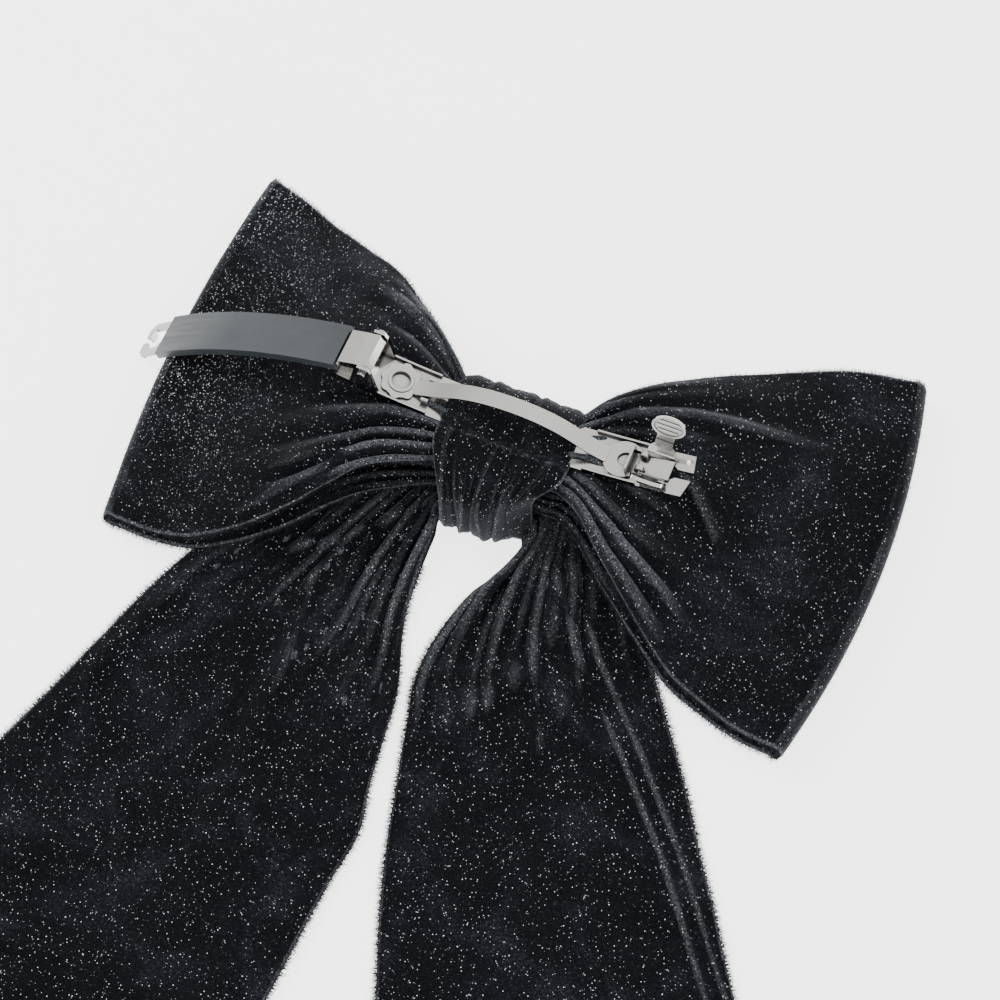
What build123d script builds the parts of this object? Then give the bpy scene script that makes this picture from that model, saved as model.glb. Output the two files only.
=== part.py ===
from build123d import *
from math import cos, sin, radians, sqrt
import os

os.makedirs("parts", exist_ok=True)

# Millimetres. +X runs along the clip from its hinge to its latch, the tails lie towards -Y,
# +Z is up from the table to the clip. The origin is under the middle of the knot.

# clip base
BASE_LENGTH = 80.0
BASE_WIDTH = 10.0
BASE_THICK = 0.7
BASE_TOP = 22.5
BASE_RADIUS = 174.0
RIB_HEIGHT = 0.8
RIB_THICK = 0.4
END_HOLE_R = 1.7
END_SLOT = 2.0

# hinge
HINGE_X = -31.5
HINGE_Z = 31.2
LUG_R = 0.95
LUG_CLEARANCE = 0.06
EAR_THICK = 0.7
EAR_FOOT = 6.8

# arm
ARM_REACH = 62.5
ARM_DROOP = 27.5
ARM_ARCH = 5.0
ARM_THICK = 0.8
ARM_WIDTH = 8.8
SLEEVE_WIDTH = 10.2
SLEEVE_WALL = 0.45
SLEEVE_GAP = 0.1
SLEEVE_START = 6.0
SLEEVE_END = 55.0

# tension bar
BAR_WIDTH = 3.7
BAR_THICK = 0.45
BAR_CROWN = 8.2
PADDLE_X = 25.0
PADDLE_R = 4.3
PADDLE_LIFT = 0.1

# latch
LATCH_X = 32.0
LEAF_THICK = 0.5
LEAF_FOOT_Y = 3.0
LEAF_FOOT_Z = 26.7
LEAF_SPLAY = 37.0
LEAF_REACH = 6.3
HEAD_LENGTH = 7.3
HEAD_HEIGHT = 4.4

# ribbon
TAIL_THICK = 2.0
TAIL_LIFT = 0.3
KNOT_DEPTH = 31.4
KNOT_Y = -4.2
KNOT_HEIGHT = 24.6
KNOT_WIDTH = 29.0
KNOT_WALL = 1.3
KNOT_CORNER = 6.5

# thread that gathers the ribbon inside the knot
THREAD_THICK = 0.6
THREAD_TURNS = 4
THREAD_DEPTH = 24.6
THREAD_HEIGHT = 18.9
THREAD_CORNER = 4.2
THREAD_Z = 11.3


def base_z(x):
    """Height of the base's upper face."""
    return BASE_TOP + BASE_RADIUS - sqrt(BASE_RADIUS**2 - x**2)


# ------------------------------------------------------------------ base strip
XZ = Plane(origin=(0, 0, 0), x_dir=(1, 0, 0), z_dir=(0, -1, 0))


def arched_band(x0, x1, lower, upper):
    """Closed outline of a band that follows the base's arch, in the XZ plane."""
    mid = (x0 + x1) / 2
    a = ThreePointArc((x0, base_z(x0) + lower), (mid, base_z(mid) + lower), (x1, base_z(x1) + lower))
    b = Line(a @ 1, (x1, base_z(x1) + upper))
    c = ThreePointArc(b @ 1, (mid, base_z(mid) + upper), (x0, base_z(x0) + upper))
    Line(c @ 1, a @ 0)


HALF = BASE_LENGTH / 2
with BuildPart() as base_strip:
    with BuildSketch(XZ):
        with BuildLine():
            arched_band(-HALF, HALF, -BASE_THICK, 0)
        make_face()
    extrude(amount=BASE_WIDTH / 2, both=True)
    # end ribs along both edges, clear of the knot
    for x0, x1 in ((-HALF + 0.6, -17.5), (17.5, 29.0)):
        for side in (-1, 1):
            with BuildSketch(XZ.offset(-side * (BASE_WIDTH / 2 - RIB_THICK / 2))):
                with BuildLine():
                    arched_band(x0, x1, -0.2, RIB_HEIGHT)
                make_face()
            extrude(amount=RIB_THICK / 2, both=True)
    # hinge ears
    for side in (-1, 1):
        with BuildSketch(XZ.offset(-side * (BASE_WIDTH / 2 - EAR_THICK / 2))):
            with BuildLine():
                Polyline(
                    (HINGE_X - EAR_FOOT / 2, base_z(HINGE_X) - 0.3),
                    (HINGE_X + EAR_FOOT / 2, base_z(HINGE_X) - 0.3),
                    (HINGE_X + 1.9, HINGE_Z + 0.6),
                    (HINGE_X + 1.2, HINGE_Z + 1.8),
                    (HINGE_X - 1.2, HINGE_Z + 1.8),
                    (HINGE_X - 1.9, HINGE_Z + 0.6),
                    close=True,
                )
            make_face()
        extrude(amount=EAR_THICK / 2, both=True)
    with Locations(Plane(origin=(HINGE_X, 0, HINGE_Z), z_dir=(0, 1, 0))):
        Cylinder(LUG_R + LUG_CLEARANCE, 40, mode=Mode.SUBTRACT)
    # hooks lanced out of the strip beside the tension bar's neck
    for side in (-1, 1):
        with Locations((-18.6, side * 2.55, base_z(18.6) + 0.75)):
            Box(1.6, 0.6, 1.8)
    # end plate: hole, open slot and shallow point
    with BuildSketch(Plane.XY):
        with Locations((HALF - 5.0, 0)):
            Circle(END_HOLE_R)
        with Locations((HALF - 1.5, 0)):
            Rectangle(7.0, END_SLOT)
    extrude(amount=40, mode=Mode.SUBTRACT)
    with BuildSketch(Plane.XY):
        for side in (-1, 1):
            with BuildLine():
                Polyline(
                    (HALF + 1, 0),
                    (HALF + 1, side * 6),
                    (HALF - 1.2, side * 6),
                    (HALF, 0),
                    close=True,
                )
            make_face()
        for side in (-1, 1):
            with BuildLine():
                Polyline(
                    (-HALF - 1, side * 6),
                    (-HALF + 2.2, side * 6),
                    (-HALF, side * 3.2),
                    (-HALF - 1, side * 3.2),
                    close=True,
                )
            make_face()
    extrude(amount=40, mode=Mode.SUBTRACT)
    # slots beside the latch's foot
    with BuildSketch(Plane.XY):
        for side in (-1, 1):
            with Locations((LATCH_X, side * (LEAF_FOOT_Y + 0.9))):
                SlotOverall(5.6, 0.8)
    extrude(amount=40, mode=Mode.SUBTRACT)
base_strip.part.label = "base_strip"
export_step(base_strip.part, "parts/base_strip.step")


# ------------------------------------------------------------------ tension bar
def base_tangent(x, lift):
    """Plane that lies on the base at x, raised by lift."""
    slope = x / sqrt(BASE_RADIUS**2 - x**2)
    length = sqrt(1 + slope**2)
    normal = (-slope / length, 0, 1 / length)
    return Plane(origin=(x, 0, base_z(x)), x_dir=(1 / length, 0, slope / length), z_dir=normal).offset(lift)


LEFT_PAD = base_tangent(-PADDLE_X, PADDLE_LIFT)
RIGHT_PAD = base_tangent(PADDLE_X, PADDLE_LIFT)
NECK_X = PADDLE_X - PADDLE_R + 0.8
NECK_Z = base_z(NECK_X) + PADDLE_LIFT + BAR_THICK / 2 + 0.07

with BuildPart() as tension_bar:
    with BuildLine() as spring_line:
        Spline(
            (-NECK_X, 0, NECK_Z),
            (-NECK_X * 0.52, 0, BASE_TOP + BAR_CROWN * 0.76),
            (0, 0, BASE_TOP + BAR_CROWN),
            (NECK_X * 0.52, 0, BASE_TOP + BAR_CROWN * 0.76),
            (NECK_X, 0, NECK_Z),
            tangents=((1, 0, 0.25), (1, 0, -0.25)),
        )
    start = Plane(origin=spring_line.line @ 0, x_dir=(0, 1, 0), z_dir=spring_line.line % 0)
    with BuildSketch(start):
        Rectangle(BAR_WIDTH, BAR_THICK)
    sweep(path=spring_line.line)
    # scalloped paddle at the hinge end, with a pressed ring round its hole
    with BuildSketch(LEFT_PAD):
        Circle(PADDLE_R - 0.35)
        with PolarLocations(PADDLE_R - 1.1, 8):
            Circle(1.2)
        Circle(2.0, mode=Mode.SUBTRACT)
    extrude(amount=BAR_THICK)
    with BuildSketch(LEFT_PAD.offset(BAR_THICK)):
        Circle(2.75)
        Circle(2.1, mode=Mode.SUBTRACT)
    extrude(amount=0.3)
    # round paddle at the latch end, with a turned-up tab
    with BuildSketch(RIGHT_PAD):
        Circle(PADDLE_R)
        with Locations((0.4, 0)):
            Circle(1.7, mode=Mode.SUBTRACT)
        with Locations((PADDLE_R - 1.1, 0)):
            Rectangle(3.0, 5.6, mode=Mode.SUBTRACT)
    extrude(amount=BAR_THICK)
    with BuildSketch(RIGHT_PAD):
        with Locations((PADDLE_R - 2.75, 0)):
            Rectangle(0.5, 6.2)
    extrude(amount=2.3)
tension_bar.part.label = "tension_bar"
export_step(tension_bar.part, "parts/tension_bar.step")


# ------------------------------------------------------------------ latch
FOOT = base_tangent(LATCH_X, 0.05)
with BuildPart() as latch_foot:
    with BuildSketch(FOOT):
        Rectangle(7.0, 2 * LEAF_FOOT_Y - 1.4)
    extrude(amount=0.5)
    # curled strips on the side towards the tension bar
    for side in (-1, 1):
        with BuildSketch(Plane(FOOT.origin, x_dir=FOOT.x_dir, z_dir=(0, 1, 0)).offset(side * 1.7)):
            with Locations((-2.9, -1.1)):
                Circle(1.0)
                Circle(0.6, mode=Mode.SUBTRACT)
        extrude(amount=0.5, both=True)
latch_foot.part.label = "latch_foot"
export_step(latch_foot.part, "parts/latch_foot.step")

SPLAY = radians(LEAF_SPLAY)


def leaf(side):
    """One splayed leaf. side is +1 for the far one and -1 for the near one."""
    rise = (0, side * sin(SPLAY), cos(SPLAY))
    out = (0, side * cos(SPLAY), -sin(SPLAY))
    face = Plane(
        origin=(LATCH_X, side * LEAF_FOOT_Y, LEAF_FOOT_Z),
        x_dir=(1, 0, 0) if side < 0 else (-1, 0, 0),
        z_dir=out,
    )
    with BuildPart() as blade:
        with BuildSketch(face.offset(-LEAF_THICK / 2)):
            with BuildLine():
                Polyline(
                    (-2.9, 0.1),
                    (2.9, 0.1),
                    (2.9, 1.3),
                    (1.9, 2.2),
                    (1.9, LEAF_REACH - 0.6),
                    (-1.9, LEAF_REACH - 0.6),
                    (-1.9, 2.2),
                    (-2.9, 1.3),
                    close=True,
                )
            make_face()
            with Locations((0, LEAF_REACH)):
                Ellipse(HEAD_LENGTH / 2, HEAD_HEIGHT / 2)
        extrude(amount=LEAF_THICK)
        # rolled foot
        with Locations(Plane(origin=(LATCH_X, side * LEAF_FOOT_Y, LEAF_FOOT_Z), z_dir=(1, 0, 0))):
            Cylinder(0.4, 5.8)
        # raised rim and three grip ridges on the inner face of the thumb pad
        with BuildSketch(face.offset(-LEAF_THICK / 2 - 0.25)):
            with Locations((0, LEAF_REACH)):
                Ellipse(HEAD_LENGTH / 2, HEAD_HEIGHT / 2)
                Ellipse(HEAD_LENGTH / 2 - 0.45, HEAD_HEIGHT / 2 - 0.45, mode=Mode.SUBTRACT)
            for step, length in ((-0.95, 4.4), (0, 5.6), (0.95, 4.4)):
                with Locations((0, LEAF_REACH + step)):
                    SlotOverall(length, 0.42)
            with Locations((0, 2.9)):
                Rectangle(3.8, 0.5)
        extrude(amount=0.35)
    return blade.part


latch_near = leaf(-1)
latch_near.label = "latch_leaf_near"
export_step(latch_near, "parts/latch_leaf_near.step")
latch_far = leaf(1)
latch_far.label = "latch_leaf_far"
export_step(latch_far, "parts/latch_leaf_far.step")


# ------------------------------------------------------------------ arm
ALONG = (-cos(radians(ARM_DROOP)), 0, -sin(radians(ARM_DROOP)))
NORMAL = (-sin(radians(ARM_DROOP)), 0, cos(radians(ARM_DROOP)))
HINGE = (HINGE_X, 0, HINGE_Z)
ARM_SIDE = Plane(origin=HINGE, x_dir=ALONG, z_dir=(0, 1, 0))
ARM_PLAN = Plane(origin=HINGE, x_dir=ALONG, z_dir=NORMAL)
ARM_RADIUS = (ARM_REACH**2 / 4 + ARM_ARCH**2) / (2 * ARM_ARCH)


def arm_y(s):
    """Height of the arm's middle surface over its chord, at s from the hinge."""
    return sqrt(ARM_RADIUS**2 - (s - ARM_REACH / 2) ** 2) - ARM_RADIUS + ARM_ARCH


def arm_band(s0, s1, half):
    """Closed outline of a band along the arm's arch."""
    mid = (s0 + s1) / 2
    a = ThreePointArc((s0, arm_y(s0) - half), (mid, arm_y(mid) - half), (s1, arm_y(s1) - half))
    b = Line(a @ 1, (s1, arm_y(s1) + half))
    c = ThreePointArc(b @ 1, (mid, arm_y(mid) + half), (s0, arm_y(s0) + half))
    Line(c @ 1, a @ 0)


SLEEVE_IN = ARM_THICK / 2 + SLEEVE_GAP
SLEEVE_OUT = SLEEVE_IN + SLEEVE_WALL
TIP = ARM_REACH

with BuildPart() as arm_bar:
    with BuildSketch(ARM_SIDE):
        with BuildLine():
            arm_band(0, TIP, ARM_THICK / 2)
        make_face()
    extrude(amount=ARM_WIDTH / 2, both=True)
    # plan: narrow between the ears, window and two inturned hooks at the fork
    with BuildSketch(ARM_PLAN.offset(-15)):
        with BuildLine():
            Polyline(
                (-1.2, -4.1),
                (5.4, -4.1),
                (5.8, -ARM_WIDTH / 2),
                (TIP - 1.4, -ARM_WIDTH / 2),
                (TIP, -3.0),
                (TIP, 3.0),
                (TIP - 1.4, ARM_WIDTH / 2),
                (5.8, ARM_WIDTH / 2),
                (5.4, 4.1),
                (-1.2, 4.1),
                close=True,
            )
        make_face()
        with BuildLine():
            Polyline(
                (TIP - 7.6, 0),
                (TIP - 5.6, -2.6),
                (TIP - 2.4, -2.6),
                (TIP - 1.6, -0.8),
                (TIP + 1, -0.8),
                (TIP + 1, 0.8),
                (TIP - 1.6, 0.8),
                (TIP - 2.4, 2.6),
                (TIP - 5.6, 2.6),
                close=True,
            )
        make_face(mode=Mode.SUBTRACT)
    extrude(amount=40, mode=Mode.INTERSECT)
    # hook lips turned down at the tip
    for side in (-1, 1):
        with BuildSketch(ARM_SIDE.offset(side * 2.2)):
            with Locations((TIP - 0.4, arm_y(TIP) - 0.7)):
                Rectangle(0.8, 2.0)
        extrude(amount=1.0, both=True)
    # stepped cross-plate and the barrel that carries the lugs
    with BuildSketch(ARM_SIDE):
        with BuildLine():
            Polyline(
                (-1.3, -0.9),
                (1.2, -0.9),
                (1.2, 0.4),
                (5.2, arm_y(5.2) + 0.2),
                (5.2, arm_y(5.2) + 1.2),
                (1.6, arm_y(1.6) + 1.6),
                (-1.3, 1.3),
                close=True,
            )
        make_face()
    extrude(amount=4.1, both=True)
    with Locations(Plane(origin=HINGE, z_dir=(0, 1, 0))):
        Cylinder(LUG_R, BASE_WIDTH + 1.7)
arm_bar.part.label = "arm_bar"
export_step(arm_bar.part, "parts/arm_bar.step")

with BuildPart() as arm_sleeve:
    with BuildSketch(ARM_SIDE):
        with BuildLine():
            arm_band(SLEEVE_START, SLEEVE_END, SLEEVE_OUT)
        make_face()
    extrude(amount=SLEEVE_WIDTH / 2, both=True)
    with BuildSketch(ARM_SIDE):
        with BuildLine():
            arm_band(SLEEVE_START - 1, SLEEVE_END + 1, SLEEVE_IN)
        make_face()
    extrude(amount=ARM_WIDTH / 2 + SLEEVE_GAP, both=True, mode=Mode.SUBTRACT)
arm_sleeve.part.label = "arm_sleeve"
export_step(arm_sleeve.part, "parts/arm_sleeve.step")


# ------------------------------------------------------------------ knot
with BuildPart() as knot_band:
    with BuildSketch(Plane.YZ):
        with Locations((KNOT_Y, KNOT_HEIGHT / 2)):
            RectangleRounded(KNOT_DEPTH, KNOT_HEIGHT, KNOT_CORNER)
            RectangleRounded(
                KNOT_DEPTH - 2 * KNOT_WALL,
                KNOT_HEIGHT - 2 * KNOT_WALL,
                KNOT_CORNER - KNOT_WALL,
                mode=Mode.SUBTRACT,
            )
    extrude(amount=30, both=True)
    with BuildSketch(Plane.XY.offset(-1)):
        with BuildLine():
            Polyline(
                (-KNOT_WIDTH / 2, -8),
                (-9.5, -17),
                (-8.5, -24),
                (8.6, -24),
                (9.8, -17),
                (KNOT_WIDTH / 2, -8),
                (KNOT_WIDTH / 2, 8),
                (13.6, 16),
                (-13.6, 16),
                (-KNOT_WIDTH / 2, 8),
                close=True,
            )
        make_face()
    extrude(amount=40, mode=Mode.INTERSECT)
knot_band.part.label = "knot_band"
export_step(knot_band.part, "parts/knot_band.step")

with BuildPart() as gather_thread:
    for turn in range(THREAD_TURNS):
        with BuildSketch(Plane.YZ.offset(THREAD_THICK * (turn - THREAD_TURNS / 2))):
            with Locations((KNOT_Y, THREAD_Z)):
                RectangleRounded(THREAD_DEPTH, THREAD_HEIGHT, THREAD_CORNER)
                RectangleRounded(
                    THREAD_DEPTH - 2 * THREAD_THICK,
                    THREAD_HEIGHT - 2 * THREAD_THICK,
                    THREAD_CORNER - THREAD_THICK,
                    mode=Mode.SUBTRACT,
                )
        # each turn runs a little into the next, so that they are one solid
        extrude(amount=THREAD_THICK + 0.1)
gather_thread.part.label = "gather_thread"
export_step(gather_thread.part, "parts/gather_thread.step")


# ------------------------------------------------------------------ loops
def loop(side, fold, outline):
    """A flattened ribbon loop, open along both of its long edges. side is -1 or +1."""
    with BuildPart() as ribbon:
        with BuildSketch(XZ):
            with BuildLine():
                top = Spline(
                    (side * 1.0, 19.2),
                    (side * 15, 20.2),
                    (side * 32, 19.0),
                    (side * 55, 13.2),
                    (side * (fold - 3), 8.4),
                    (side * fold, 5.4),
                )
                low = Spline(
                    top @ 1,
                    (side * (fold - 3), 2.8),
                    (side * 55, 3.4),
                    (side * 32, 6.3),
                    (side * 15, 7.2),
                    (side * 1.0, 7.4),
                )
                Line(low @ 1, top @ 0)
            make_face()
            with BuildLine():
                inner = Spline(
                    (side * 12, 18.4),
                    (side * 32, 17.2),
                    (side * 55, 11.5),
                    (side * (fold - 2.2), 6.2),
                )
                under = Spline(
                    inner @ 1,
                    (side * 55, 5.1),
                    (side * 32, 8.0),
                    (side * 12, 9.0),
                )
                Line(under @ 1, inner @ 0)
            make_face(mode=Mode.SUBTRACT)
        extrude(amount=60, both=True)
        with BuildSketch(Plane.XY):
            with BuildLine():
                Polyline(*outline, close=True)
            make_face()
        extrude(amount=40, mode=Mode.INTERSECT)
    return ribbon.part


LEFT_LOOP = (
    (-1.0, 5.2), (-9.0, 6.4), (-14.8, 9.0), (-24.0, 18.8), (-29.5, 24.5), (-38.5, 31.0), (-49.0, 36.5),
    (-59.5, 41.0), (-69.0, 44.5), (-77.0, 47.0), (-78.6, 32.0), (-79.4, 15.0), (-79.6, 0.0),
    (-78.2, -20.0), (-76.6, -34.0), (-74.6, -44.5), (-60.0, -44.5), (-47.0, -42.0),
    (-38.0, -33.0), (-28.0, -23.0), (-14.5, -12.8), (-1.0, -12.8),
)
RIGHT_LOOP = (
    (1.0, 5.2), (9.0, 6.4), (14.0, 9.0), (17.5, 16.5), (23.0, 23.0), (35.5, 32.5), (50.5, 42.5),
    (62.5, 48.5), (76.7, 51.5), (79.0, 41.0), (81.5, 31.0), (83.0, 17.0), (83.4, 5.0),
    (82.0, -10.0), (79.8, -22.5), (75.3, -42.0), (66.5, -41.0), (56.6, -38.0), (49.4, -35.8),
    (40.7, -30.1), (28.0, -20.5), (14.5, -11.0), (1.0, -12.0),
)
left_loop = loop(-1, 79.5, LEFT_LOOP)
left_loop.label = "left_loop"
export_step(left_loop, "parts/left_loop.step")
right_loop = loop(1, 83.4, RIGHT_LOOP)
right_loop.label = "right_loop"
export_step(right_loop, "parts/right_loop.step")


# ------------------------------------------------------------------ tails
def tail(outline):
    """A tail of doubled ribbon that leaves the knot and lies flat on the table."""
    with BuildPart() as ribbon:
        with BuildSketch(Plane.YZ):
            with BuildLine():
                top = Spline((14, 5.6), (-14, 5.4), (-26, 4.0), (-42, TAIL_LIFT + TAIL_THICK))
                Line(top @ 1, (-220, TAIL_LIFT + TAIL_THICK))
                Line((-220, TAIL_LIFT + TAIL_THICK), (-220, TAIL_LIFT))
                Line((-220, TAIL_LIFT), (-40, TAIL_LIFT))
                low = Spline((-40, TAIL_LIFT), (-26, 1.6), (-14, 2.6), (14, 3.2))
                Line(low @ 1, top @ 0)
            make_face()
        extrude(amount=160, both=True)
        with BuildSketch(Plane.XY):
            with BuildLine():
                Polyline(*outline, close=True)
            make_face()
        extrude(amount=40, mode=Mode.INTERSECT)
    return ribbon.part


left_tail = tail((
    (-1.0, 4.0), (-16.0, 5.0), (-34.0, -10.0), (-54.0, -39.0), (-60.5, -55.0), (-65.0, -70.0),
    (-73.5, -98.0), (-85.5, -138.0), (-98.0, -180.0), (-10.0, -192.0), (-2.5, -160.0),
    (-0.5, -127.0), (1.2, -99.0), (2.8, -80.0), (1.0, -61.0), (-3.4, -45.0), (-4.8, -35.0),
    (-10.5, -26.0), (-12.2, -17.0), (-9.0, -12.5), (-1.0, -12.0),
))
left_tail.label = "left_tail"
export_step(left_tail, "parts/left_tail.step")
right_tail = tail((
    (1.0, 4.0), (16.0, 5.0), (30.0, -10.0), (41.0, -27.0), (51.5, -42.0), (61.7, -56.5),
    (73.5, -75.0), (84.5, -93.0), (104.0, -121.0), (126.0, -150.0), (58.0, -192.0), (36.0, -158.0),
    (26.0, -135.0), (19.2, -118.5), (12.2, -99.5), (7.7, -85.4), (5.2, -75.0), (4.0, -62.0),
    (4.0, -53.0), (3.6, -43.0), (4.4, -34.0), (11.2, -26.0),
    (12.8, -17.0), (9.6, -12.5), (1.0, -12.0),
))
right_tail.label = "right_tail"
export_step(right_tail, "parts/right_tail.step")
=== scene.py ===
import bpy, bmesh, math, random
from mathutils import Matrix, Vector, noise


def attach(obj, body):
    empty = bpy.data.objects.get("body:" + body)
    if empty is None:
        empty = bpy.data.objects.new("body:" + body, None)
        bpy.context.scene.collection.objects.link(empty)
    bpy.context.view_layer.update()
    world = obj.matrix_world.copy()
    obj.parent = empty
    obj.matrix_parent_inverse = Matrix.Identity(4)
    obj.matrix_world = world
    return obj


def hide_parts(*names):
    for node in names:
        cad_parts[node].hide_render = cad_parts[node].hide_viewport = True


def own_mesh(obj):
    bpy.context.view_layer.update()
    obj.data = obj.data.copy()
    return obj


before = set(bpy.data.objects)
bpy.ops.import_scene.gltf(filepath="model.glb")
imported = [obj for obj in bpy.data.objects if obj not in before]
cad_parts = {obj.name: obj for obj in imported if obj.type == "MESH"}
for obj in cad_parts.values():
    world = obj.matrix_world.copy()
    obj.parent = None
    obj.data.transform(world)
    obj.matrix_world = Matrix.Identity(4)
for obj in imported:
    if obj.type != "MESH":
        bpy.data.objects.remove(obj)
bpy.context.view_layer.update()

MM = 0.001


# ------------------------------------------------------------------ small helpers
def smooth(a, b, x):
    """0 below a, 1 above b, eased between."""
    t = min(max((x - a) / (b - a), 0.0), 1.0)
    return t * t * (3 - 2 * t)


def along(points, t):
    """Point at t (0 to 1, by index) on a Catmull-Rom curve through 2-D points."""
    n = len(points) - 1
    f = min(max(t, 0.0), 1.0) * n
    i = min(int(f), n - 1)
    u = f - i
    p1, p2 = points[i], points[i + 1]
    p0 = points[i - 1] if i > 0 else tuple(2 * a - b for a, b in zip(p1, p2))
    p3 = points[i + 2] if i + 2 <= n else tuple(2 * b - a for a, b in zip(p1, p2))
    return tuple(
        0.5 * (2 * b + (c - a) * u + (2 * a - 5 * b + 4 * c - d) * u * u + (3 * b - a - 3 * c + d) * u**3)
        for a, b, c, d in zip(p0, p1, p2, p3)
    )


def even(points, count):
    """The curve through points, resampled to count + 1 points evenly along its length."""
    fine = [along(points, i / 400) for i in range(401)]
    run = [0.0]
    for a, b in zip(fine, fine[1:]):
        run.append(run[-1] + math.dist(a, b))
    out, k = [], 0
    for i in range(count + 1):
        want = run[-1] * i / count
        while k < 399 and run[k + 1] < want:
            k += 1
        u = (want - run[k]) / max(run[k + 1] - run[k], 1e-9)
        out.append(tuple(a + (b - a) * u for a, b in zip(fine[k], fine[k + 1])))
    return out


def mesh_object(name, verts, faces, mats=()):
    mesh = bpy.data.meshes.new(name)
    mesh.from_pydata([Vector(v) * MM for v in verts], [], faces)
    bm = bmesh.new()
    bm.from_mesh(mesh)
    bmesh.ops.recalc_face_normals(bm, faces=bm.faces)
    bm.to_mesh(mesh)
    bm.free()
    for m in mats:
        mesh.materials.append(m)
    ob = bpy.data.objects.new(name, mesh)
    bpy.context.scene.collection.objects.link(ob)
    for p in mesh.polygons:
        p.use_smooth = True
    return ob


def apply_modifiers(ob):
    deps = bpy.context.evaluated_depsgraph_get()
    fresh = bpy.data.meshes.new_from_object(ob.evaluated_get(deps))
    ob.modifiers.clear()
    ob.data = fresh
    for p in fresh.polygons:
        p.use_smooth = True


# ------------------------------------------------------------------ materials
def node_material(name):
    m = bpy.data.materials.new(name)
    m.use_nodes = True
    nt = m.node_tree
    nt.nodes.clear()
    out = nt.nodes.new("ShaderNodeOutputMaterial")
    bsdf = nt.nodes.new("ShaderNodeBsdfPrincipled")
    nt.links.new(bsdf.outputs[0], out.inputs[0])
    return m, nt, bsdf


def add(nt, kind, **values):
    n = nt.nodes.new(kind)
    for k, v in values.items():
        if k.startswith("in_"):
            n.inputs[k[3:].replace("_", " ")].default_value = v
        else:
            setattr(n, k, v)
    return n


def ramp(nt, source, stops):
    n = nt.nodes.new("ShaderNodeValToRGB")
    e = n.color_ramp.elements
    e[0].position, e[0].color = stops[0][0], (*stops[0][1], 1)
    e[1].position, e[1].color = stops[-1][0], (*stops[-1][1], 1)
    for pos, col in stops[1:-1]:
        e.new(pos).color = (*col, 1)
    nt.links.new(source, n.inputs[0])
    return n.outputs[0]


def maths(nt, op, a, b=None):
    n = nt.nodes.new("ShaderNodeMath")
    n.operation = op
    for i, v in enumerate((a, b)):
        if v is None:
            continue
        if isinstance(v, (int, float)):
            n.inputs[i].default_value = v
        else:
            nt.links.new(v, n.inputs[i])
    return n.outputs[0]


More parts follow.
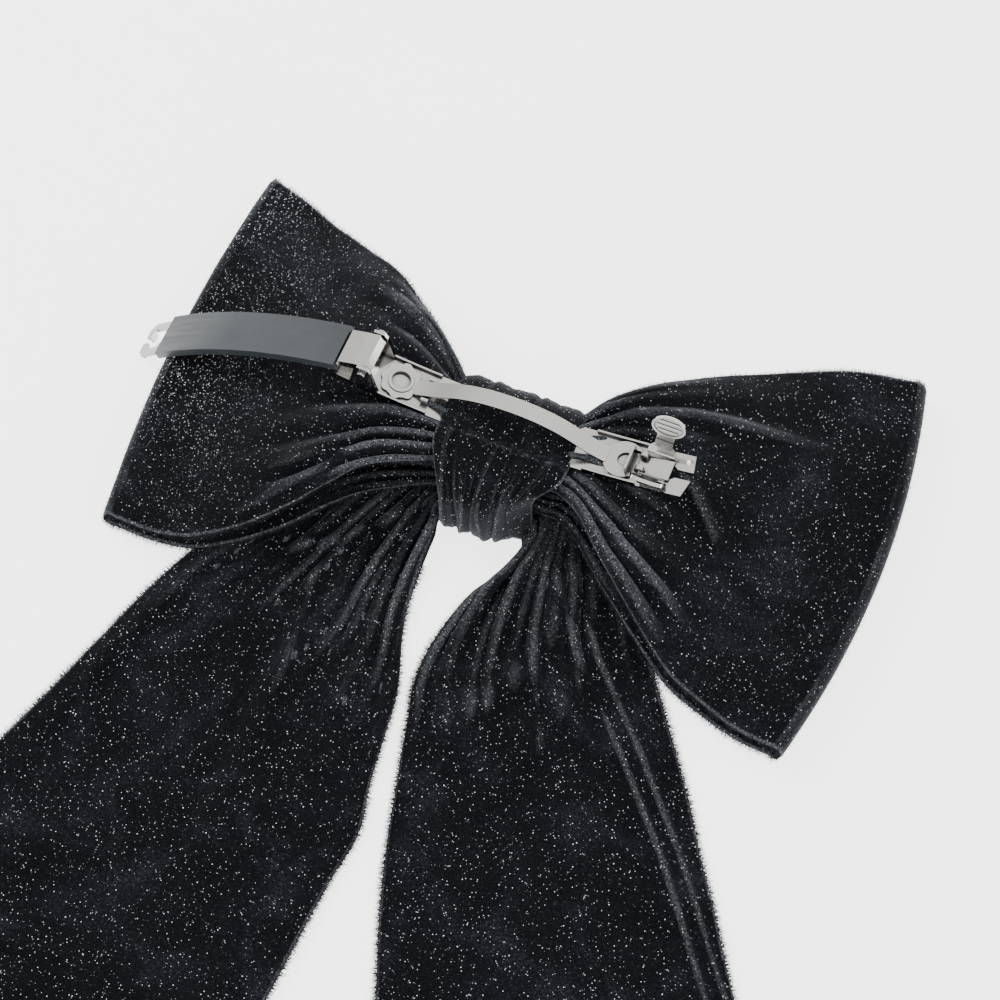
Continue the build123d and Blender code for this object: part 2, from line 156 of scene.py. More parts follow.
def velvet(name, dusted):
    """Black pile with a sheen, crushed streaks and glitter, a painted sheen highlight on fold crests and a
    painted glint where the glitter glows. dusted adds specks over the left loop's fold.
    """
    m, nt, b = node_material(name)
    pos = add(nt, "ShaderNodeNewGeometry").outputs["Position"]
    link = nt.links.new
    pile = add(nt, "ShaderNodeTexNoise", in_Scale=2600.0, in_Detail=3.0, in_Roughness=0.7)
    link(pos, pile.inputs["Vector"])
    streak = add(nt, "ShaderNodeTexNoise", in_Scale=55.0, in_Detail=6.0, in_Roughness=0.62)
    streak.inputs["Distortion"].default_value = 0.8
    link(pos, streak.inputs["Vector"])
    base = ramp(nt, streak.outputs[0], [
        (0.30, (0.0022, 0.0025, 0.0036)),
        (0.52, (0.0050, 0.0056, 0.0078)),
        (0.66, (0.0135, 0.0150, 0.0195)),
        (0.80, (0.0300, 0.0330, 0.0400)),
    ])
    tint = ramp(nt, pile.outputs[0], [
        (0.38, (0.2, 0.2, 0.2)),
        (0.58, (1.0, 1.0, 1.0)),
        (0.72, (4.6, 4.6, 4.8)),
    ])
    mix = add(nt, "ShaderNodeMixRGB", blend_type="MULTIPLY")
    mix.inputs[0].default_value = 1.0
    link(base, mix.inputs[1])
    link(tint, mix.inputs[2])

    def specks(scale, size, share):
        cell = add(nt, "ShaderNodeTexVoronoi", in_Scale=scale)
        link(pos, cell.inputs["Vector"])
        near = maths(nt, "LESS_THAN", cell.outputs["Distance"], size)
        pick = add(nt, "ShaderNodeSeparateColor")
        link(cell.outputs["Color"], pick.inputs[0])
        chosen = maths(nt, "LESS_THAN", pick.outputs[0], share)
        bright = maths(nt, "POWER", pick.outputs[1], 3.5)
        return maths(nt, "MULTIPLY", maths(nt, "MULTIPLY", near, chosen), bright)

    fine = specks(3100.0, 0.31, 0.16)
    coarse = specks(1800.0, 0.22, 0.09)
    glitter_and_glint = maths(nt, "MAXIMUM", fine, coarse)
    if dusted:
        dense = specks(2200.0, 0.28, 0.80)
        sep = add(nt, "ShaderNodeSeparateXYZ")
        link(pos, sep.inputs[0])
        where = add(nt, "ShaderNodeMapRange", clamp=True)
        where.inputs[1].default_value = -0.050
        where.inputs[2].default_value = -0.072
        link(sep.outputs[0], where.inputs[0])
        patch = add(nt, "ShaderNodeTexNoise", in_Scale=38.0, in_Detail=2.0)
        link(pos, patch.inputs["Vector"])
        cloud = ramp(nt, patch.outputs[0], [(0.35, (0, 0, 0)), (0.6, (1, 1, 1))])
        lot = maths(nt, "MULTIPLY", where.outputs[0], cloud)
        glitter_and_glint = maths(nt, "MAXIMUM", glitter_and_glint, maths(nt, "MULTIPLY", dense, lot))
    # Painted sheen highlight: fold crests (high Pointiness) are lightened towards grey, broken up by the
    # pile noise.
    bent = add(nt, "ShaderNodeNewGeometry").outputs["Pointiness"]
    crest = ramp(nt, bent, [(0.508, (0, 0, 0)), (0.535, (1, 1, 1))])
    tufts = ramp(nt, pile.outputs[0], [(0.42, (0.1, 0.1, 0.1)), (0.66, (1, 1, 1))])
    painted_crest_sheen = maths(nt, "MULTIPLY", crest, tufts)
    rim = add(nt, "ShaderNodeMixRGB", blend_type="MIX")
    link(painted_crest_sheen, rim.inputs[0])
    link(mix.outputs[0], rim.inputs[1])
    rim.inputs[2].default_value = (0.13, 0.14, 0.155, 1)
    foil = add(nt, "ShaderNodeMixRGB", blend_type="MIX")
    link(glitter_and_glint, foil.inputs[0])
    link(rim.outputs[0], foil.inputs[1])
    foil.inputs[2].default_value = (0.85, 0.88, 0.92, 1)
    link(foil.outputs[0], b.inputs["Base Color"])
    link(maths(nt, "SUBTRACT", 0.95, maths(nt, "MULTIPLY", glitter_and_glint, 0.6)), b.inputs["Roughness"])
    b.inputs["Specular IOR Level"].default_value = 0.12
    b.inputs["Sheen Weight"].default_value = 0.26
    b.inputs["Sheen Roughness"].default_value = 0.34
    b.inputs["Sheen Tint"].default_value = (0.72, 0.76, 0.84, 1)
    # Painted glint: the glitter specks also glow through Emission, on top of their own bright colour.
    link(maths(nt, "MULTIPLY", glitter_and_glint, 0.55), b.inputs["Emission Strength"])
    b.inputs["Emission Color"].default_value = (0.86, 0.90, 0.95, 1)
    bump = add(nt, "ShaderNodeBump", in_Strength=0.55, in_Distance=0.0004)
    link(pile.outputs[0], bump.inputs["Height"])
    crush = add(nt, "ShaderNodeBump", in_Strength=0.5, in_Distance=0.0012)
    link(streak.outputs[0], crush.inputs["Height"])
    link(bump.outputs[0], crush.inputs["Normal"])
    link(crush.outputs[0], b.inputs["Normal"])
    return m


def nickel(name, shade=0.90):
    m, nt, b = node_material(name)
    pos = add(nt, "ShaderNodeNewGeometry").outputs["Position"]
    wide = add(nt, "ShaderNodeTexNoise", in_Scale=90.0, in_Detail=3.0)
    nt.links.new(pos, wide.inputs["Vector"])
    fine = add(nt, "ShaderNodeTexNoise", in_Scale=1400.0, in_Detail=4.0, in_Roughness=0.7)
    stretch = add(nt, "ShaderNodeMapping")
    stretch.inputs["Scale"].default_value = (0.12, 1.0, 1.0)
    nt.links.new(pos, stretch.inputs["Vector"])
    nt.links.new(stretch.outputs[0], fine.inputs["Vector"])
    col = ramp(nt, wide.outputs[0], [
        (0.3, (shade * 0.94, shade * 0.925, shade * 0.90)),
        (0.7, (shade, shade * 0.985, shade * 0.96)),
    ])
    # Painted shade: an Ambient Occlusion mask darkens the metal's colour in crevices and between parts.
    nook = add(nt, "ShaderNodeAmbientOcclusion", samples=8, in_Distance=0.0022)
    dark = add(nt, "ShaderNodeMixRGB", blend_type="MULTIPLY")
    dark.inputs[0].default_value = 1.0
    nt.links.new(col, dark.inputs[1])
    painted_crevice_shade = ramp(nt, nook.outputs["AO"], [(0.35, (0.05, 0.05, 0.05)), (0.85, (1, 1, 1))])
    nt.links.new(painted_crevice_shade, dark.inputs[2])
    # Painted shade: the colour is darkened towards faces seen edge-on (Layer Weight Facing), down to a tenth
    # at grazing view.
    tilt = add(nt, "ShaderNodeLayerWeight", in_Blend=0.5)
    painted_edge_on_shade = add(nt, "ShaderNodeMixRGB", blend_type="MULTIPLY")
    painted_edge_on_shade.inputs[0].default_value = 1.0
    nt.links.new(dark.outputs[0], painted_edge_on_shade.inputs[1])
    nt.links.new(ramp(nt, tilt.outputs["Facing"], [
        (0.10, (1.0, 1.0, 1.0)),
        (0.30, (0.66, 0.66, 0.65)),
        (0.55, (0.30, 0.30, 0.30)),
        (0.90, (0.10, 0.10, 0.10)),
    ]), painted_edge_on_shade.inputs[2])
    nt.links.new(painted_edge_on_shade.outputs[0], b.inputs["Base Color"])
    b.inputs["Metallic"].default_value = 1.0
    rough = ramp(nt, fine.outputs[0], [(0.3, (0.07, 0.07, 0.07)), (0.75, (0.17, 0.17, 0.17))])
    nt.links.new(rough, b.inputs["Roughness"])
    bump = add(nt, "ShaderNodeBump", in_Strength=0.12, in_Distance=0.00008)
    nt.links.new(fine.outputs[0], bump.inputs["Height"])
    nt.links.new(bump.outputs[0], b.inputs["Normal"])
    return m


def sleeve_plastic(name):
    m, nt, b = node_material(name)
    pos = add(nt, "ShaderNodeNewGeometry").outputs["Position"]
    stretch = add(nt, "ShaderNodeMapping")
    stretch.inputs["Scale"].default_value = (0.06, 1.0, 0.06)
    nt.links.new(pos, stretch.inputs["Vector"])
    scuff = add(nt, "ShaderNodeTexNoise", in_Scale=900.0, in_Detail=5.0, in_Roughness=0.65)
    nt.links.new(stretch.outputs[0], scuff.inputs["Vector"])
    cloud = add(nt, "ShaderNodeTexNoise", in_Scale=120.0, in_Detail=4.0)
    nt.links.new(pos, cloud.inputs["Vector"])
    col = ramp(nt, cloud.outputs[0], [(0.3, (0.016, 0.021, 0.025)), (0.7, (0.028, 0.035, 0.040))])
    nt.links.new(col, b.inputs["Base Color"])
    rough = ramp(nt, scuff.outputs[0], [(0.35, (0.36, 0.36, 0.36)), (0.7, (0.56, 0.56, 0.56))])
    nt.links.new(rough, b.inputs["Roughness"])
    bump = add(nt, "ShaderNodeBump", in_Strength=0.18, in_Distance=0.00012)
    nt.links.new(scuff.outputs[0], bump.inputs["Height"])
    nt.links.new(bump.outputs[0], b.inputs["Normal"])
    b.inputs["Specular IOR Level"].default_value = 0.5
    return m


def fringe_material(name):
    m, nt, b = node_material(name)
    pos = add(nt, "ShaderNodeNewGeometry").outputs["Position"]
    n = add(nt, "ShaderNodeTexNoise", in_Scale=900.0)
    nt.links.new(pos, n.inputs["Vector"])
    col = ramp(nt, n.outputs[0], [(0.35, (0.004, 0.0045, 0.006)), (0.7, (0.045, 0.048, 0.055))])
    nt.links.new(col, b.inputs["Base Color"])
    b.inputs["Roughness"].default_value = 0.8
    b.inputs["Specular IOR Level"].default_value = 0.2
    return m


VELVET = velvet("velvet", False)
VELVET_LOOP = velvet("velvet_loop", True)
NICKEL = nickel("nickel")
SLEEVE = sleeve_plastic("sleeve_plastic")
FRINGE = fringe_material("pile_edge")
THREAD = fringe_material("sewing_thread")


# ------------------------------------------------------------------ pleated ribbon surfaces
def folds_at(folds, s, w):
    """Sum of the ridges and valleys at distance s (mm) from the knot and place w (-1 to 1) across."""
    z = 0.0
    for at, drift, height, width, start, reach in folds:
        if s > reach:
            continue
        centre = at + drift * s / 100
        fade = (1 - smooth(start, reach, s))
        spread = width * (1 + s / 60)
        d = abs(w - centre) / spread
        if d < 3:
            z += height * fade * math.exp(-d * d)
    return z


def gathers(s, w, seed, start=14, end=42):
    """Fine uneven pleats close to the knot, at s (mm) along the ribbon and place w (-1 to 1) across."""
    phase = 34 * w + 3.0 * noise.noise(Vector((w * 3, s / 40, seed)))
    uneven = 0.75 + 0.5 * noise.noise(Vector((w * 5, seed, 0)))
    return 1.0 * math.sin(phase) * (1 - smooth(start, end, s)) * uneven


def near_line(x, y, line):
    """Distance (mm) from a point to a polyline, and how far along it (0 to 1) the nearest place is."""
    best, where, last = 1e9, 0.0, len(line) - 1
    for i in range(last):
        (ax, ay), (bx, by) = line[i], line[i + 1]
        dx, dy = bx - ax, by - ay
        u = min(max(((x - ax) * dx + (y - ay) * dy) / (dx * dx + dy * dy), 0.0), 1.0)
        d = math.hypot(x - ax - u * dx, y - ay - u * dy)
        if d < best:
            best, where = d, (i + u) / last
    return best, where


def creases_at(creases, x, y):
    """Sum of the creases at a point. Each one is (height, width, line) and fades at both ends."""
    z = 0.0
    for height, width, line in creases:
        d, t = near_line(x, y, line)
        if d < 3 * width:
            rise, fall = 0.25 + 0.75 * smooth(0.0, 0.25, t), 1 - smooth(0.6, 1.0, t)
            z += height * math.exp(-((d / width) ** 2)) * fall * rise
    return z


def beside(line, gap):
    """The line moved sideways by gap (mm), to the left of its direction."""
    out = []
    for i, p in enumerate(line):
        q, r = line[min(i + 1, len(line) - 1)], line[max(i - 1, 0)]
        run = math.dist(q, r)
        out.append((p[0] - gap * (q[1] - r[1]) / run, p[1] + gap * (q[0] - r[0]) / run))
    return out


def ripple(x, y, seed, size, height):
    return height * noise.noise(Vector((x / size, y / size, seed)))


def ribbon_sheet(name, upper, lower, height, folds, creases, seed, rows, cols, thick, rough):
    """A strip of ribbon between two edge curves. height(x, y, w) gives its level; folds add pleats."""
    a, c = even(upper, rows), even(lower, rows)
    verts, faces, run = [], [], 0.0
    for i in range(rows + 1):
        if i:
            m0 = ((a[i - 1][0] + c[i - 1][0]) / 2, (a[i - 1][1] + c[i - 1][1]) / 2)
            m1 = ((a[i][0] + c[i][0]) / 2, (a[i][1] + c[i][1]) / 2)
            run += math.dist(m0, m1)
        for j in range(cols + 1):
            w = -1 + 2 * j / cols
            u = (w + 1) / 2
            x = a[i][0] * (1 - u) + c[i][0] * u
            y = a[i][1] * (1 - u) + c[i][1] * u
            z = height(x, y, w) + folds_at(folds, run, w) + creases_at(creases, x, y)
            z += gathers(run, w, seed, 34, 78)
            over = z - thick / 2 - 0.35
            z = thick / 2 + 0.35 + (over + math.sqrt(over * over + 0.5)) / 2
            z += ripple(x, y, seed, 17.0, rough) + ripple(x, y, seed + 5, 6.0, rough * 0.35)
            verts.append((x, y, z))
    for i in range(rows):
        for j in range(cols):
            k = i * (cols + 1) + j
            faces.append((k, k + 1, k + cols + 2, k + cols + 1))
    ob = mesh_object(name, verts, faces, (VELVET,))
    s = ob.modifiers.new("cloth", "SOLIDIFY")
    s.thickness = thick * MM
    s.offset = 0
    b = ob.modifiers.new("round", "SUBSURF")
    b.levels = b.render_levels = 1
    apply_modifiers(ob)
    return ob


def fringe(name, rails, seed, body, length=1.35):
    """Fine pile hairs that stand out from cut edges. rails are lists of (point, outward) in mm."""
    rng = random.Random(seed)
    verts, faces = [], []
    for rail in rails:
        for (p, out) in rail:
            for _ in range(3):
                jitter = Vector((rng.uniform(-1, 1), rng.uniform(-1, 1), rng.uniform(-0.5, 0.5)))
                base = Vector(p) + jitter * 0.25
                stray = Vector((rng.uniform(-1, 1), rng.uniform(-1, 1), rng.uniform(-0.7, 0.9)))
                d = (Vector(out) + stray * 0.6).normalized()
                l = length * rng.uniform(0.35, 1.15)
                side = d.cross(Vector((0, 0, 1))).normalized() * 0.07
                up = d.cross(side).normalized() * 0.07
                k = len(verts)
                base -= d * 0.35
                hair = (base + side, base - side, base + up, base + d * (l + 0.35))
                verts += [(v.x, v.y, max(v.z, 0.08)) for v in hair]
                faces += [(k, k + 1, k + 3), (k + 1, k + 2, k + 3), (k + 2, k, k + 3), (k, k + 2, k + 1)]
    ob = mesh_object(name, verts, faces, (FRINGE,))
    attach(ob, body)
    return ob


def rail_along(points, levels, sign, step=0.32):
    """(point, outward) pairs along a 2-D edge, outward to the left (+1) or right (-1) of travel."""
    length = sum(math.dist(a, b) for a, b in zip(points, points[1:]))
    fine = even(points, max(int(length / step), 4))
    out = []
    for i, p in enumerate(fine):
        q = fine[min(i + 1, len(fine) - 1)]
        r = fine[max(i - 1, 0)]
        d = Vector((q[0] - r[0], q[1] - r[1], 0)).normalized()
        n = Vector((-d.y, d.x, 0)) * sign
        for z in levels:
            level = z(p[0], p[1]) if callable(z) else z
            out.append(((p[0], p[1], level), tuple(n)))
    return out


# ------------------------------------------------------------------ loops
# Edge curves run from the knot outwards, in millimetres.
LEFT_UPPER = [
    (-3, 6.5), (-12, 7.6), (-17, 12), (-24, 18.8), (-29.8, 23.6), (-38.8, 31), (-49.3, 36.2),
    (-59.5, 40.2), (-69, 44.3), (-77.2, 47.0),
]
LEFT_LOWER = [
    (-3, -10), (-11, -12), (-14, -13), (-24.9, -18.7), (-31, -24.2), (-39.5, -33.1), (-48.3, -39.6),
    (-57, -43.6), (-66, -44.8), (-74.6, -44.6),
]
RIGHT_UPPER = [
    (3, 6.5), (12, 8.2), (17.2, 16), (23, 22.2), (30.3, 27.9), (36, 32.2), (43.2, 37.3),
    (50.8, 42.3), (62.8, 48.3), (76.7, 51.4),
]
RIGHT_LOWER = [
    (3, -9), (11, -10), (14.5, -10), (20, -13), (28, -20.2), (40.8, -30.3), (49.4, -36.0),
    (56.6, -38.4), (66.5, -41.0), (75.3, -41.9),
]


def loop_surface(name, side, upper, lower, bulge, folds, creases, seed):
    """One flattened loop: the layer nearer the clip, the outer fold and the layer nearer the table."""
    rows, turn, cols = 84, 12, 120
    a, c = even(upper, rows), even(lower, rows)
    fold_z, half = 5.6, 2.6
    verts, faces = [], []
    grid = []
    run, prev = 0.0, None
    for i in range(rows + 1):
        mid = ((a[i][0] + c[i][0]) / 2, (a[i][1] + c[i][1]) / 2)
        run += math.dist(prev, mid) if prev else 0
        prev = mid
        grid.append((i / rows, run))

    def level(t, top):
        if top:
            z = 19.6 - 11.4 * smooth(0.16, 1.0, t) + 1.2 * math.sin(math.pi * min(t * 1.6, 1))
            return max(z, fold_z + half) if t > 0.97 else z
        return 8.6 - 5.4 * smooth(0.1, 0.75, t)

    path = [(i, True) for i in range(rows + 1)]
    path += [(k, None) for k in range(1, turn)]
    path += [(i, False) for i in range(rows, -1, -1)]
    z_top_end, z_low_end = level(1.0, True), level(1.0, False)
    for key, top in path:
        for j in range(cols + 1):
            w = -1 + 2 * j / cols
            u = (w + 1) / 2
            if top is None:
                i, t = rows, 1.0
                ang = math.pi * key / turn
                out = math.sin(ang) * 2.2
                z = (z_top_end + z_low_end) / 2 + math.cos(ang) * (z_top_end - z_low_end) / 2
            else:
                i, t = key, key / rows
                out, z = 0.0, level(t, top)
            x = a[i][0] * (1 - u) + c[i][0] * u
            y = a[i][1] * (1 - u) + c[i][1] * u
            x += side * (bulge * (1 - w * w) * smooth(0.35, 1.0, t) - 2.0 * smooth(0.6, 1.0, t) + out)
            crown = (1 - w * w) * (1.8 if top is not False else 0.6) * math.sin(math.pi * min(t * 1.1, 1))
            edge_drop = -(abs(w) ** 6) * 1.6 * math.sin(math.pi * min(t, 0.94))
            if top is False:
                edge_drop = (abs(w) ** 6) * 1.2 * math.sin(math.pi * min(t, 0.94))
            z += crown + edge_drop
            s = grid[i][1]
            if top is not False:
                z += folds_at(folds, s, w) + creases_at(creases, x, y) + gathers(s, w, seed)
            else:
                z += 0.4 * folds_at(folds, s, w) + gathers(s, w, seed + 4)
            z += ripple(x, y, seed + (0 if top else 9), 16.0, 0.55) + ripple(x, y, seed + 3, 5.0, 0.16)
            verts.append((x, y, max(z, 2.6 + 0.9 * (1 - t))))
    n = len(path)
    for i in range(n - 1):
        for j in range(cols):
            k = i * (cols + 1) + j
            faces.append((k, k + 1, k + cols + 2, k + cols + 1))
    ob = mesh_object(name, verts, faces, (VELVET_LOOP,))
    cloth = ob.modifiers.new("cloth", "SOLIDIFY")
    cloth.thickness = 1.1 * MM
    cloth.offset = 0
    b = ob.modifiers.new("round", "SUBSURF")
    b.levels = b.render_levels = 1
    apply_modifiers(ob)
    rails = []
    for j in (0, cols):
        edge = [verts[i * (cols + 1) + j] for i in range(n)]
        inner = [verts[i * (cols + 1) + (1 if j == 0 else cols - 1)] for i in range(n)]
        fine = []
        for i in range(0, n - 1):
            p, q = Vector(edge[i]), Vector(edge[i + 1])
            o = (p - Vector(inner[i])).normalized()
            for k in range(4):
                fine.append((tuple(p.lerp(q, k / 4)), tuple(o)))
        rails.append(fine[40:-40])
    fold_row = rows + turn // 2
    outer = [verts[fold_row * (cols + 1) + j] for j in range(cols + 1)]
    rails.append([(outer[j], (side, 0, 0.1)) for j in range(cols + 1)] * 2)
    return ob, rails


# Each fold: place across (-1 upper edge, 1 lower edge), drift outwards, height, width, and where it
# starts and ends fading.
LEFT_FOLDS = [
    (-0.80, 0.0, 1.5, 0.07, 10, 62), (-0.58, 0.0, 1.3, 0.08, 8, 40), (-0.66, -0.05, -1.4, 0.07, 8, 46),
    (-0.36, -0.1, 1.2, 0.09, 6, 34), (-0.10, 0.0, -1.2, 0.08, 6, 30), (0.06, 0.0, 1.2, 0.07, 6, 34),
    (0.22, 0.05, -1.6, 0.06, 12, 58), (0.34, 0.05, 1.7, 0.06, 14, 64), (0.46, 0.08, -1.8, 0.05, 12, 60),
    (0.56, 0.10, 1.8, 0.05, 16, 66), (0.68, 0.05, -1.8, 0.045, 14, 60), (0.78, 0.05, 1.7, 0.05, 16, 62),
    (0.90, 0.0, -1.6, 0.04, 12, 50),
]
RIGHT_FOLDS = [
    (-0.80, 0.05, 1.4, 0.07, 10, 60), (-0.66, 0.05, -1.4, 0.06, 10, 52), (-0.45, 0.10, 1.6, 0.08, 16, 78),
    (-0.30, 0.12, -1.4, 0.07, 12, 70), (-0.08, 0.0, 1.0, 0.09, 8, 40), (0.10, 0.0, -1.1, 0.08, 8, 44),
    (0.26, 0.0, 1.3, 0.08, 10, 52), (0.42, 0.02, -1.4, 0.06, 12, 56), (0.54, 0.03, 1.5, 0.06, 14, 64),
    (0.66, 0.03, -1.5, 0.05, 12, 64), (0.76, 0.03, 1.6, 0.05, 16, 76), (0.86, 0.02, -1.5, 0.045, 14, 76),
    (0.94, 0.0, 1.2, 0.04, 16, 70),
]
LEFT_CREASES = [
    (1.5, 1.3, [(-14, -9), (-19.4, -11.9), (-35.8, -19.9), (-43.8, -24.6), (-50, -28)]),
    (1.7, 1.2, [(-14, -12), (-20.4, -15.1), (-27.8, -19.8), (-34.9, -24.8), (-46.6, -35.4), (-52, -39)]),
    (-1.5, 1.2, [(-14, -10.5), (-20, -13.4), (-32, -20.2), (-42, -27), (-48, -32)]),
    (1.3, 1.4, [(-14, -4), (-24, -6), (-36, -9), (-46, -11)]),
    (1.4, 1.5, [(-14, 7), (-20, 12), (-28, 18), (-36, 22), (-46, 25)]),
    (-1.2, 1.3, [(-14, 5), (-21, 9), (-29, 14), (-38, 17)]),
]
RIGHT_CREASES = [
    (1.7, 1.7, [(14, 9), (22, 13.5), (34.1, 18.4), (53.8, 23.3), (71, 26.6)]),
    (-1.4, 1.5, [(14, 7), (23, 10.6), (35, 15), (50, 18.6)]),
    (1.3, 1.4, [(34, 5), (40.3, 1.8), (47.1, -5), (49, -9)]),
    (1.6, 1.2, [(13.6, -6.2), (26.9, -17.4), (39.3, -26.8), (48, -33)]),
    (1.6, 1.1, [(16.6, -5.5), (30.9, -16.4), (41.7, -21.4), (52, -28)]),
    (-1.5, 1.1, [(15, -5.9), (29, -16.9), (40.5, -24), (50, -30.5)]),
]
left_loop, left_rails = loop_surface(
    "left_loop_ribbon", -1, LEFT_UPPER, LEFT_LOWER, 3.2, LEFT_FOLDS, LEFT_CREASES, 1.3
)
right_loop, right_rails = loop_surface(
    "right_loop_ribbon", 1, RIGHT_UPPER, RIGHT_LOWER, 5.4, RIGHT_FOLDS, RIGHT_CREASES, 7.7
)
for ob, node in ((left_loop, "left_loop"), (right_loop, "right_loop")):
    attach(ob, "bow")
    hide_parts(node)
fringe("left_loop_pile", left_rails, 11, "bow")
fringe("right_loop_pile", right_rails, 12, "bow")

# ------------------------------------------------------------------ tails
LEFT_TAIL_OUT = [
    (-6, 8), (-18, 5), (-33, -10), (-46, -28), (-55.2, -42.1), (-60.2, -54.5), (-64.6, -69),
    (-69, -83.4), (-73.6, -98), (-79.5, -118), (-86, -139), (-92, -160), (-98, -180),
]
LEFT_TAIL_IN = [
    (-4, -10), (-9.6, -17), (-9.0, -22), (-8.8, -28), (-8.2, -36), (-6.4, -45), (-2.2, -58),
    (0.2, -76), (2.5, -88), (1.2, -100), (-0.6, -127), (-3.5, -158), (-9, -190),
]
RIGHT_TAIL_IN = [
    (4, -10), (9.6, -16), (8.6, -22), (6.2, -27), (3.0, -32.4), (0.0, -43.6), (-0.2, -53.4),
    (2.0, -62.2), (5.2, -75), (7.9, -85.6), (12.2, -99.8), (19.4, -119), (30, -146), (40, -166),
    (52, -188),
]
RIGHT_TAIL_OUT = [
    (6, 8), (18, 4), (30, -10), (38, -22), (44, -31), (51.8, -42.2), (61.8, -56.8), (67.4, -66.2),
    (73.6, -75.6), (79, -84.4), (85, -94), (96, -110), (107, -125), (116, -137), (126, -150),
]
LEFT_TAIL_FOLDS = [
    (-0.86, 0.0, 1.2, 0.035, 60, 260), (-0.78, 0.0, -0.9, 0.03, 60, 260),
    (-0.30, 0.0, -1.0, 0.08, 20, 60), (0.44, 0.0, -1.6, 0.05, 24, 60), (0.52, 0.0, 1.8, 0.06, 30, 80),
    (0.66, 0.0, -1.4, 0.05, 20, 52), (0.78, 0.0, 1.6, 0.05, 24, 60), (0.90, 0.0, -1.0, 0.04, 16, 50),
    (-0.5, 0.0, 1.2, 0.08, 16, 60), (0.32, 0.0, 1.2, 0.04, 20, 60),
]
RIGHT_TAIL_FOLDS = [
    (-0.30, 0.0, 1.6, 0.07, 24, 56), (-0.50, 0.0, -1.4, 0.06, 22, 50), (-0.70, 0.0, 1.5, 0.06, 22, 56),
    (-0.86, 0.0, -1.0, 0.04, 16, 44), (0.50, 0.0, -1.2, 0.05, 60, 130), (0.92, 0.0, -0.8, 0.03, 60, 160),
]


def tail_level(x, y, w):
    near = math.hypot(x, y)
    return 1.3 + 3.2 * (1 - smooth(16, 46, near)) + 0.5 * smooth(40, 120, near) * (1 - w * w)


LEFT_VALLEY = [(-30.7, -40), (-31.3, -61.3), (-30.5, -82.7), (-30.2, -100), (-24, -120)]
LEFT_TAIL_CREASES = [
    (1.1, 1.3, [(-12.3, -14.2), (-19.2, -21.4), (-29, -30.2), (-34.7, -34.3), (-44.9, -40.7)]),
    (-1.1, 2.2, LEFT_VALLEY),
    (1.0, 4.6, beside(LEFT_VALLEY, 5.5)),
    (0.9, 1.5, [(-30.4, -31), (-27.7, -46), (-26, -62), (-25, -80)]),
    (1.0, 2.4, [(-18.4, -24), (-14.3, -44), (-13, -62), (-12, -84)]),
]
STRIP = [
    (12.5, -8.9), (22.5, -22.8), (31.9, -35.3), (48.6, -53.3), (61.8, -68.8), (80.1, -93.4),
    (106, -128), (122, -150),
]
RIGHT_TAIL_CREASES = [
    (1.0, 0.75, beside(STRIP, 1.9)),
    (1.0, 0.75, beside(STRIP, -1.9)),
    (2.3, 3.3, [(22.5, -20), (22.4, -32), (20.4, -42), (16.4, -51), (11, -58), (6, -66)]),
    (1.1, 3.0, [(29.7, -30), (30.6, -45), (28.8, -58), (24.7, -68), (18, -82), (14, -96)]),
    (-0.9, 2.4, [(34, -32), (35, -47), (33, -60), (29, -71), (23, -85)]),
]


def tail(name, outer, inner, folds, creases, seed):
    ob = ribbon_sheet(
        name, outer, inner, tail_level, folds, creases, seed, rows=170, cols=120, thick=1.3, rough=0.8
    )
    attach(ob, "bow")
    return ob


left_tail = tail(
    "left_tail_ribbon", LEFT_TAIL_OUT, LEFT_TAIL_IN, LEFT_TAIL_FOLDS, LEFT_TAIL_CREASES, 21.0
)
right_tail = tail(
    "right_tail_ribbon", RIGHT_TAIL_IN, RIGHT_TAIL_OUT, RIGHT_TAIL_FOLDS, RIGHT_TAIL_CREASES, 33.0
)
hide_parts("left_tail")
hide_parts("right_tail")
fringe("left_tail_pile", [
    rail_along(LEFT_TAIL_OUT[4:], (1.4, 2.2), -1),
    rail_along(LEFT_TAIL_IN[3:], (1.4, 2.2), 1),
], 13, "bow")
fringe("right_tail_pile", [
    rail_along(RIGHT_TAIL_IN[3:], (1.4, 2.2), -1),
    rail_along(RIGHT_TAIL_OUT[4:], (1.4, 2.2), 1),
], 14, "bow")

# ------------------------------------------------------------------ knot
SEAM_Y = -6.2
# Each wrinkle: place across, width and height.
KNOT_WRINKLES = [
    (-0.82, 0.07, 0.5), (-0.62, 0.05, -0.7), (-0.45, 0.06, 0.6), (-0.2, 0.05, -0.6),
    (0.02, 0.07, 0.5), (0.24, 0.04, -0.7), (0.36, 0.05, 0.6), (0.55, 0.05, -0.6),
    (0.78, 0.07, 0.5),
]


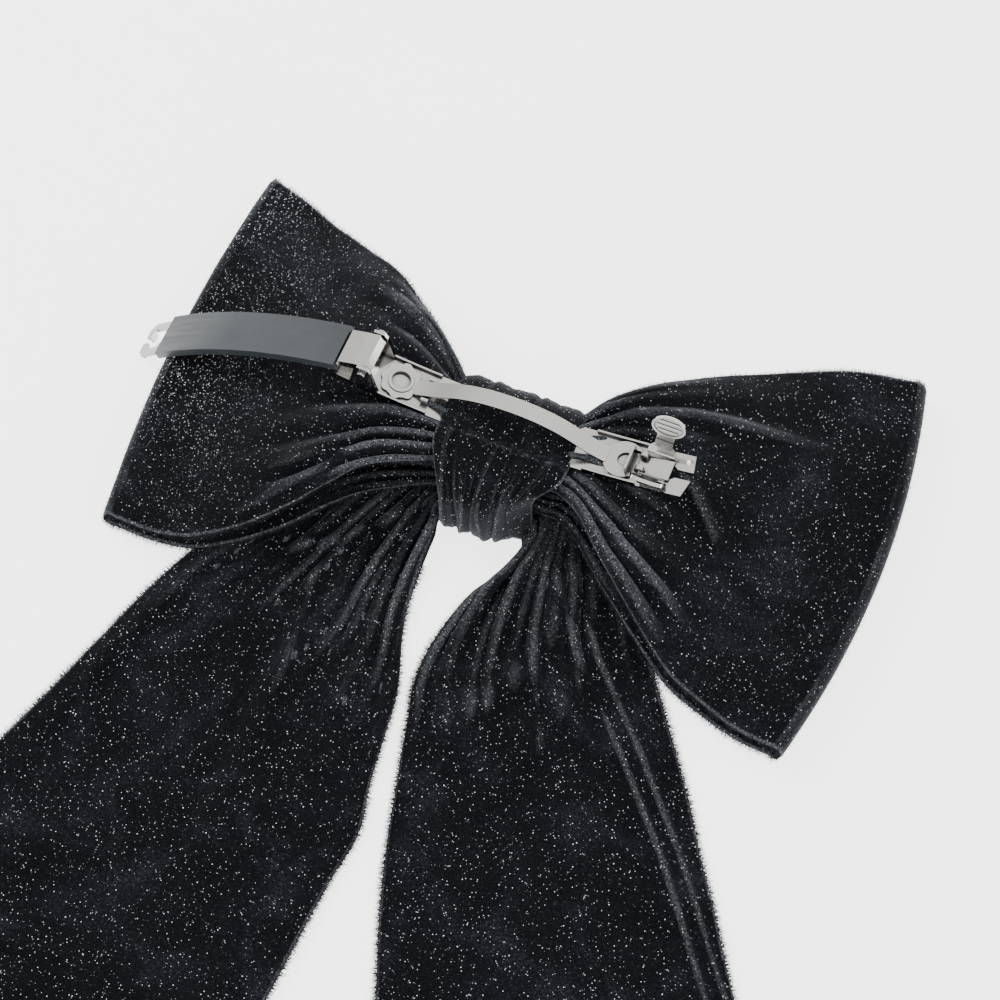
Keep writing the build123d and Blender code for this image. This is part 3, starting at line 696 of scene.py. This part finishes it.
def knot():
    """The band round the middle: a closed oval ring with wrinkles that run round it."""
    around, across = 150, 64
    verts, faces = [], []
    cy, depth, height = -4.2, 15.4, 12.1
    for layer in (0, 1):
        for i in range(around):
            a = 2 * math.pi * i / around
            ca, sa = math.cos(a), math.sin(a)
            r = (abs(ca) ** 3.4 + abs(sa) ** 3.4) ** (-1 / 3.4)
            pinch = smooth(0.25, 1.0, abs(ca)) * (0.36 if ca < 0 else 0.07)
            for j in range(across + 1):
                w = -1 + 2 * j / across
                half = 14.6 * (1 - pinch)
                x = w * half + (0.5 if ca < 0 else 0)
                wr = 0.0
                for at, size, tall in KNOT_WRINKLES:
                    wobble = 0.06 * math.sin(a * 2 + at * 9)
                    wr += tall * math.exp(-((w - at - wobble) / size) ** 2)
                wr *= 0.55 + 0.45 * smooth(-0.2, 0.9, -ca)
                edge = -0.9 * abs(w) ** 8
                off = (wr + edge) * (1 if layer == 0 else 0.3) - (0 if layer == 0 else 1.15)
                if sa > 0.6:
                    off = min(off, 0.25) if layer == 0 else off
                short = 6.0 * smooth(0.05, 1.0, w) * smooth(0.2, 1.0, -ca)
                y = cy + ca * (depth * r + off - short)
                if layer == 0 and sa > 0.6:
                    off += 0.25 - 0.5 * smooth(SEAM_Y - 0.4, SEAM_Y + 0.4, y)
                z = 12.3 + sa * (height * r + off)
                verts.append((x, y, max(z, 0.05)))
    ring = around * (across + 1)
    for layer in (0, 1):
        for i in range(around):
            for j in range(across):
                k = layer * ring + i * (across + 1) + j
                n = layer * ring + ((i + 1) % around) * (across + 1) + j
                faces.append((k, n, n + 1, k + 1))
    for i in range(around):
        for j in (0, across):
            k = i * (across + 1) + j
            n = ((i + 1) % around) * (across + 1) + j
            faces.append((k, n, ring + n, ring + k))
    ob = mesh_object("knot_band_ribbon", verts, faces, (VELVET,))
    b = ob.modifiers.new("round", "SUBSURF")
    b.levels = b.render_levels = 1
    apply_modifiers(ob)
    return ob


knot_piece = knot()
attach(knot_piece, "bow")
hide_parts("knot_band")
seam = [
    ((x, SEAM_Y + 0.5 * math.sin(x * 0.8), 24.6), (0.1, -1.0, 0.0))
    for x in (-13 + 0.25 * i for i in range(105))
]
fringe("knot_seam_pile", [seam], 15, "bow", length=0.8)


def loose_thread():
    """A wavy end of sewing thread that lies on the knot beside the raw edge."""
    sides, radius, count, verts, faces = 6, 0.11, 60, [], []
    for i in range(count + 1):
        t = i / count
        x, y = -4.5 + 9.5 * t, -7.2 - 1.3 * math.sin(t * 11) * (0.4 + 0.6 * t)
        for k in range(sides):
            a = 2 * math.pi * k / sides
            level = 24.98 + 0.2 * math.sin(t * 7) ** 2
            verts.append((x, y + radius * math.cos(a), level + radius * math.sin(a)))
    for i in range(count):
        for k in range(sides):
            n = (k + 1) % sides
            faces.append((i * sides + k, i * sides + n, (i + 1) * sides + n, (i + 1) * sides + k))
    faces += [tuple(range(sides)), tuple(count * sides + k for k in range(sides))]
    return mesh_object("loose_thread", verts, faces, (THREAD,))


stray = loose_thread()
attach(stray, "bow")

# ------------------------------------------------------------------ metal and sleeve keep their CAD shape
for node in ("base_strip", "latch_foot", "latch_leaf_near", "latch_leaf_far", "arm_bar"):
    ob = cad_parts[node]
    for s in ob.material_slots:
        s.material = NICKEL
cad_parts["arm_sleeve"].material_slots[0].material = SLEEVE
bar_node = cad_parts["tension_bar"]
spring = bpy.data.objects.new("tension_bar_spring", bar_node.data.copy())
bpy.context.scene.collection.objects.link(spring)
spring.matrix_world = bar_node.matrix_world.copy()
spring.data.materials.clear()
spring.data.materials.append(NICKEL)
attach(spring, "bow")
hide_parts("tension_bar")
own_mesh(spring)
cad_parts["gather_thread"].material_slots[0].material = THREAD

# ------------------------------------------------------------------ floor, light, camera
floor = bpy.data.objects.new("floor", bpy.data.meshes.new("floor"))
floor.data.from_pydata([(-6, -6, 0), (6, -6, 0), (6, 6, 0), (-6, 6, 0)], [], [(0, 1, 2, 3)])
bpy.context.scene.collection.objects.link(floor)
fm, fnt, fb = node_material("pale_floor")
grain = add(fnt, "ShaderNodeTexNoise", in_Scale=300.0)
paint = ramp(fnt, grain.outputs[0], [(0.3, (0.93, 0.93, 0.93)), (0.7, (0.96, 0.96, 0.96))])
fnt.links.new(paint, fb.inputs["Base Color"])
fb.inputs["Roughness"].default_value = 1.0
fb.inputs["Emission Color"].default_value = (1, 1, 1, 1)
fb.inputs["Emission Strength"].default_value = 2.8
floor.data.materials.append(fm)

world = bpy.data.worlds.new("studio")
bpy.context.scene.world = world
world.use_nodes = True
backdrop = world.node_tree.nodes["Background"]
backdrop.inputs[0].default_value = (1, 1, 1, 1)
backdrop.inputs[1].default_value = 1.0


def lamp(name, place, aim, size, power):
    data = bpy.data.lights.new(name, "AREA")
    data.size, data.energy = size, power
    ob = bpy.data.objects.new(name, data)
    bpy.context.scene.collection.objects.link(ob)
    ob.location = place
    ob.rotation_euler = (Vector(aim) - Vector(place)).to_track_quat("-Z", "Y").to_euler()


lamp("key", (-1.0, 0.15, 0.9), (0, 0, 0), 0.5, 12.0)
lamp("fill", (1.0, -0.3, 0.8), (0, 0, 0), 0.5, 6.0)

cam_data = bpy.data.cameras.new("camera")
cam = bpy.data.objects.new("camera", cam_data)
bpy.context.scene.collection.objects.link(cam)
AZIMUTH, ELEVATION, ROLL, DISTANCE = math.radians(21.07), math.radians(61.72), math.radians(0.98), 0.55
target = Vector((0.0001, -0.0061, 0))
back = Vector((
    math.sin(AZIMUTH) * math.cos(ELEVATION),
    -math.cos(AZIMUTH) * math.cos(ELEVATION),
    math.sin(ELEVATION),
))
cam.location = target + back * DISTANCE
cam.rotation_euler = (-back).to_track_quat("-Z", "Y").to_euler()
cam.rotation_euler.rotate_axis("Z", ROLL)
cam_data.lens = 91.8
cam_data.clip_start, cam_data.clip_end = 0.01, 20
bpy.context.scene.camera = cam
